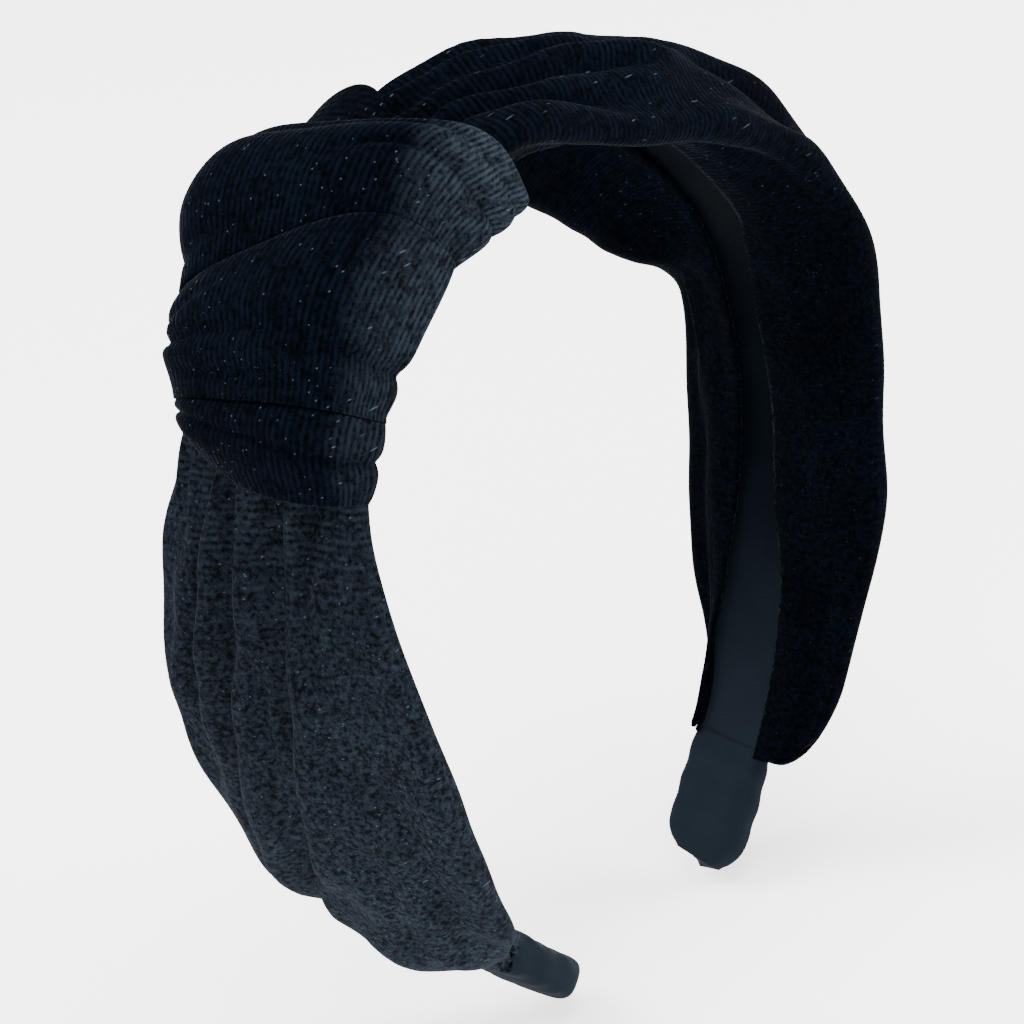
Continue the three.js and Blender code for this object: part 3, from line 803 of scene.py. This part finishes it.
def pile_sheen_and_lie(tree, along, front):
    """How much painted sheen pales the pile, how upright it is, and how upright its ribs are."""
    # Painted sheen: the near arm is painted paler towards its tip; the same share lays its ribs
    # flatter.
    toward_tip = node(tree, "ShaderNodeMapRange", NEAR_ARM_SHEEN, {"Value": along})
    near_arm = node(tree, "ShaderNodeMath", {1: NEAR_ARM_UNTIL}, {0: along}, operation="LESS_THAN")
    arm_sheen_and_lying_pile = node(tree, "ShaderNodeMath", operation="MULTIPLY",
                   links={0: toward_tip.outputs[0], 1: near_arm.outputs[0]})
    on_knot = node(tree, "ShaderNodeMath", {1: KNOT_FROM}, {0: along}, operation="GREATER_THAN")
    # Painted sheen on the knot's front, paler towards its front edge.
    frontward = node(tree, "ShaderNodeMapRange", KNOT_FRONT, {"Value": front})
    painted_sheen = node(tree, "ShaderNodeMath", operation="MULTIPLY_ADD",
                   links={0: on_knot.outputs[0], 1: frontward.outputs[0], 2: arm_sheen_and_lying_pile.outputs[0]})
    smoothed = node(tree, "ShaderNodeMapRange", SMOOTH_ARM, {"Value": along})
    upright = node(tree, "ShaderNodeMath", operation="MAXIMUM",
                   links={0: smoothed.outputs[0], 1: on_knot.outputs[0]})
    flattened = node(tree, "ShaderNodeMapRange", RIBS_LEFT, {"Value": arm_sheen_and_lying_pile.outputs[0]})
    combed = node(tree, "ShaderNodeMath", operation="MULTIPLY",
                  links={0: upright.outputs[0], 1: flattened.outputs[0]})
    return painted_sheen.outputs[0], upright.outputs[0], combed.outputs[0]


# %% [markdown]
# The dye is uneven over a centimetre or two. The gaps between the tufts get painted shade and their
# ends a painted highlight. A few fibres of pale lint cling where the pile stands: they are thin
# stretched cells, turned three ways, of which only the middles are kept.

# %% Colour of the pile
DYE_PATCHES = 70.0
LINT_CELLS = (50.0, 560.0, 560.0)
LINT_TURNS = ((0.5, 0.8, 0.3), (1.9, 0.4, 2.2), (0.1, 1.3, 1.1))
LINT_MIDDLE = {"From Min": 0.04, "From Max": 0.08, "To Min": 0.34, "To Max": 0.0}
TUFT_SHADE_AND_HIGHLIGHT = {"From Min": 0.38, "From Max": 0.85, "To Min": 0.25, "To Max": 2.2}


def pile_colour(tree, spot, painted_sheen, height):
    """Blue-black, with painted sheen, painted shade between the tufts and painted highlight on them."""
    patches = node(tree, "ShaderNodeTexNoise", {"Scale": DYE_PATCHES, "Detail": 3.0},
                   {"Vector": spot})
    deep = node(tree, "ShaderNodeMix", {"A": colour("#010103"), "B": colour("#02050A")},
                {"Factor": patches.outputs["Fac"]}, data_type="RGBA")
    pale = node(tree, "ShaderNodeMix", {"A": colour("#10151A"), "B": colour("#1E2329")},
                {"Factor": patches.outputs["Fac"]}, data_type="RGBA")
    # Painted sheen: mixed towards the pale colour on the near arm and the knot's front.
    base = node(tree, "ShaderNodeMix", data_type="RGBA",
                links={"Factor": painted_sheen, "A": deep.outputs["Result"],
                       "B": pale.outputs["Result"]})
    # Painted shade low between the tufts and painted highlight on their ends, by the pile's height.
    shade = node(tree, "ShaderNodeMapRange", TUFT_SHADE_AND_HIGHLIGHT, {"Value": height})
    shaded = node(tree, "ShaderNodeMix", {"Factor": 1.0},
                  {"A": base.outputs["Result"], "B": shade.outputs[0]},
                  data_type="RGBA", blend_type="MULTIPLY")
    return shaded.outputs["Result"]


def with_lint(tree, spot, base, upright):
    """The colour with fibres of lint lying on it."""
    for turned in LINT_TURNS:
        stretched = node(tree, "ShaderNodeMapping", {"Rotation": turned, "Scale": LINT_CELLS},
                         {"Vector": spot})
        cells = node(tree, "ShaderNodeTexVoronoi", {"Scale": 1.0},
                     {"Vector": stretched.outputs["Vector"]})
        thread = node(tree, "ShaderNodeMapRange", LINT_MIDDLE, {"Value": cells.outputs["Distance"]})
        clinging = node(tree, "ShaderNodeMath", operation="MULTIPLY",
                        links={0: thread.outputs[0], 1: upright})
        linted = node(tree, "ShaderNodeMix", {"B": colour("#4C565E")}, data_type="RGBA",
                      links={"Factor": clinging.outputs[0], "A": base})
        base = linted.outputs["Result"]
    return base


# %% Velvet
def make_velvet():
    made, tree, output = material("blue_black_cut_velvet")
    flat = node(tree, "ShaderNodeUVMap", uv_map="flat").outputs["UV"]
    spot = node(tree, "ShaderNodeTexCoord").outputs["Object"]
    along = node(tree, "ShaderNodeSeparateXYZ", links={"Vector": flat}).outputs["X"]
    front = node(tree, "ShaderNodeSeparateXYZ", links={"Vector": spot}).outputs["Y"]
    rib, patchy = velvet_ribs(tree, spot, along)
    painted_sheen, upright, combed = pile_sheen_and_lie(tree, along, front)
    standing = node(tree, "ShaderNodeMath", links={0: patchy, 1: combed}, operation="MULTIPLY")
    pile = node(tree, "ShaderNodeTexNoise", {"Scale": TUFTS, "Detail": 2.0, "Roughness": 0.75},
                {"Vector": spot})
    height = node(tree, "ShaderNodeMath", operation="MULTIPLY_ADD",
                  links={0: rib, 1: standing.outputs[0], 2: pile.outputs["Fac"]})
    bump = node(tree, "ShaderNodeBump", {"Strength": 0.6, "Distance": 0.0005},
                {"Height": height.outputs[0]})
    dyed = pile_colour(tree, spot, painted_sheen, height.outputs[0])
    shader = node(tree, "ShaderNodeBsdfPrincipled",
                  {"Roughness": 0.95, "Specular IOR Level": 0.01, "Sheen Weight": 0.026,
                   "Sheen Roughness": 0.2, "Sheen Tint": colour("#A9BCD2")},
                  {"Base Color": with_lint(tree, spot, dyed, upright),
                   "Normal": bump.outputs["Normal"]})
    tree.links.new(shader.outputs[0], output.inputs["Surface"])
    return made


velvet = make_velvet()

# %% [markdown]
# The lining is a close satin. Its weave is too fine to see as threads, so a fine wave along the
# ribbon breaks up the highlight a little, and a soft noise varies the colour where it is creased.
# It has painted shade under the crown and grows paler towards the tips.

# %% Satin
# A wave's bands repeat every 0.314 / scale metres: THREADS draws them 0.45 mm apart, coarser than
# a real satin's 0.15 mm so that they show.
THREADS = 700.0
WORN_PATCHES = 90.0
PAINTED_SHADE_SPAN = {"From Min": 0.105, "From Max": 0.176}


def make_satin():
    made, tree, output = material("charcoal_satin_ribbon")
    spot = node(tree, "ShaderNodeTexCoord").outputs["Object"]
    flat = node(tree, "ShaderNodeUVMap", uv_map="flat").outputs["UV"]
    threads = node(tree, "ShaderNodeTexWave", {"Scale": THREADS, "Distortion": 1.2, "Detail": 1.0},
                   {"Vector": flat})
    patches = node(tree, "ShaderNodeTexNoise", {"Scale": WORN_PATCHES, "Detail": 4.0}, {"Vector": spot})
    parts = node(tree, "ShaderNodeSeparateXYZ", links={"Vector": flat})
    along = node(tree, "ShaderNodeMath", links={0: parts.outputs["X"]}, operation="ABSOLUTE")
    # Painted shade: dark under the crown, paler from there towards the tips.
    lit_towards_tips = node(tree, "ShaderNodeMapRange", PAINTED_SHADE_SPAN, {"Value": along.outputs[0]},
                interpolation_type="SMOOTHSTEP")
    # A shaded and a lit copy of the satin's colour, each varied by the noise.
    dark = node(tree, "ShaderNodeMix", {"A": colour("#010204"), "B": colour("#03060A")},
                {"Factor": patches.outputs["Fac"]}, data_type="RGBA")
    light = node(tree, "ShaderNodeMix", {"A": colour("#0D1116"), "B": colour("#141A20")},
                 {"Factor": patches.outputs["Fac"]}, data_type="RGBA")
    base = node(tree, "ShaderNodeMix", data_type="RGBA",
                links={"Factor": lit_towards_tips.outputs[0], "A": dark.outputs["Result"],
                       "B": light.outputs["Result"]})
    gloss = node(tree, "ShaderNodeMapRange", {"To Min": 0.5, "To Max": 0.7},
                 {"Value": patches.outputs["Fac"]})
    bump = node(tree, "ShaderNodeBump", {"Strength": 0.25, "Distance": 0.0002},
                {"Height": threads.outputs["Fac"]})
    shader = node(tree, "ShaderNodeBsdfPrincipled",
                  {"Specular IOR Level": 0.006},
                  {"Base Color": base.outputs["Result"], "Roughness": gloss.outputs[0],
                   "Normal": bump.outputs["Normal"]})
    tree.links.new(shader.outputs[0], output.inputs["Surface"])
    return made


satin = make_satin()

# %% [markdown]
# The plastic band and the foam hide inside, but the object can be taken apart, so they get real
# finishes too: a moulded plastic with a faint grain, and foam with open cells.

# %% Plastic and foam
def make_plain(name, dark, light, scale, strength, distance, rough):
    made, tree, output = material(name)
    spot = node(tree, "ShaderNodeTexCoord").outputs["Object"]
    grain = node(tree, "ShaderNodeTexNoise", {"Scale": scale, "Detail": 4.0}, {"Vector": spot})
    base = node(tree, "ShaderNodeMix", {"A": colour(dark), "B": colour(light)},
                {"Factor": grain.outputs["Fac"]}, data_type="RGBA")
    bump = node(tree, "ShaderNodeBump", {"Strength": strength, "Distance": distance},
                {"Height": grain.outputs["Fac"]})
    shader = node(tree, "ShaderNodeBsdfPrincipled", {"Roughness": rough},
                  {"Base Color": base.outputs["Result"], "Normal": bump.outputs["Normal"]})
    tree.links.new(shader.outputs[0], output.inputs["Surface"])
    return made


plastic = make_plain("moulded_black_plastic", "#16181B", "#1F2226", 900.0, 0.15, 0.0001, 0.42)
foam = make_plain("grey_open_cell_foam", "#2B2E32", "#4A4E54", 1400.0, 0.8, 0.0004, 0.95)

# %% [markdown]
# ## Put it together
# The knot and the tip covers say which body carries them, and the CAD cloth is hidden. The sleeves
# and linings cross the flex lines.

# %% Give finishes and bodies, and hide the CAD cloth
for piece in (velvet_right, velvet_left, knot_upper, knot_lower, knot_hem, knot_tuck):
    piece.data.materials.append(velvet)
for piece in (lining_right, lining_left, cover_left, cover_right):
    piece.data.materials.append(satin)
for name, piece in frame["nodes"].items():
    finish = plastic if name.startswith("band_") else foam if name.startswith("padding_") else None
    if finish:
        piece.data.materials.clear()
        piece.data.materials.append(finish)

for piece in (knot_upper, knot_lower, knot_hem, knot_tuck):
    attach(piece, "crown")
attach(cover_left, "left_arm")
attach(cover_right, "right_arm")


for piece, body, side in ((velvet_right, "right_arm", 1), (lining_right, "right_arm", 1),
                          (velvet_left, "left_arm", -1), (lining_left, "left_arm", -1)):
    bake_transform(piece)

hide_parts("velvet_sleeve_crown", "velvet_sleeve_right")
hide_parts("velvet_sleeve_left")
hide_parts("lining_crown", "lining_right")
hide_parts("lining_left")
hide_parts("knot_upper_turn")
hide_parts("knot_lower_turn")
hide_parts("knot_hem_turn")
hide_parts("knot_tucked_fold")
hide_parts("tip_cover_left")
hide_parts("tip_cover_right")

# %% [markdown]
# ## Camera, floor and light
# The camera looks down from the front left at a long focal length. Sheets of white paper that glow a
# little lie just under the tips, and four large soft lights and a white surround give the even light
# of a packshot.

# %% Camera
BACK = Vector((-0.63795, -0.63529, 0.43523))
UP = Vector((0.43505, 0.16903, 0.88440))
AIM = Vector((0.0, 0.0, crown_centre - 11.3)) * MM
DISTANCE = 0.5436
ACROSS = -0.00607
RISE = 0.00249

camera_data = bpy.data.cameras.new("camera")
camera_data.lens = 122.48
camera_data.sensor_width = 36.0
camera = bpy.data.objects.new("camera", camera_data)
bpy.context.scene.collection.objects.link(camera)
bpy.context.scene.camera = camera
eye = AIM + BACK * DISTANCE
right = UP.cross(BACK).normalized()
target = AIM + right * ACROSS + UP * RISE
depth = (eye - target).normalized()
side = UP.cross(depth).normalized()
top = depth.cross(side)
camera.matrix_world = Matrix.Translation(eye) @ Matrix((side, top, depth)).transposed().to_4x4()
print("the camera stands at", [round(v, 3) for v in eye])

# %% Floor
bm = bmesh.new()
bmesh.ops.create_grid(bm, x_segments=1, y_segments=1, size=40.0)
bmesh.ops.translate(bm, vec=(0, 0, cad_box[0][2] - 0.002), verts=bm.verts)
floor_mesh = bpy.data.meshes.new("floor")
bm.to_mesh(floor_mesh)
bm.free()
floor = bpy.data.objects.new("floor", floor_mesh)
bpy.context.scene.collection.objects.link(floor)
paper, tree, output = material("white_paper")
shader = node(tree, "ShaderNodeBsdfPrincipled", {"Base Color": colour("#FBFBFB"), "Roughness": 0.9,
                                                 "Specular IOR Level": 0.1, "Emission Strength": 0.9,
                                                 "Emission Color": (1.0, 1.0, 1.0, 1.0)})
tree.links.new(shader.outputs[0], output.inputs["Surface"])
floor_mesh.materials.append(paper)


# %% Light
def soft_light(name, place, size, power):
    """A square light that faces the headband."""
    data = bpy.data.lights.new(name, "AREA")
    data.size = size
    data.energy = power
    lamp = bpy.data.objects.new(name, data)
    bpy.context.scene.collection.objects.link(lamp)
    lamp.location = place
    lamp.rotation_euler = (Vector(place) - AIM).to_track_quat("Z", "Y").to_euler()
    return lamp


soft_light("front_right_light", (0.95, -0.75, 0.35), 0.6, 32.0)
soft_light("left_light", (-1.0, -0.5, 0.3), 0.6, 16.0)
soft_light("back_light", (-0.3, 0.9, 0.8), 0.7, 26.0)
soft_light("top_light", (0.1, -0.1, 1.3), 1.0, 40.0)
world = bpy.data.worlds.new("white_surround")
world.use_nodes = True
world.node_tree.nodes["Background"].inputs["Color"].default_value = (1.0, 1.0, 1.0, 1.0)
world.node_tree.nodes["Background"].inputs["Strength"].default_value = 1.15
bpy.context.scene.world = world
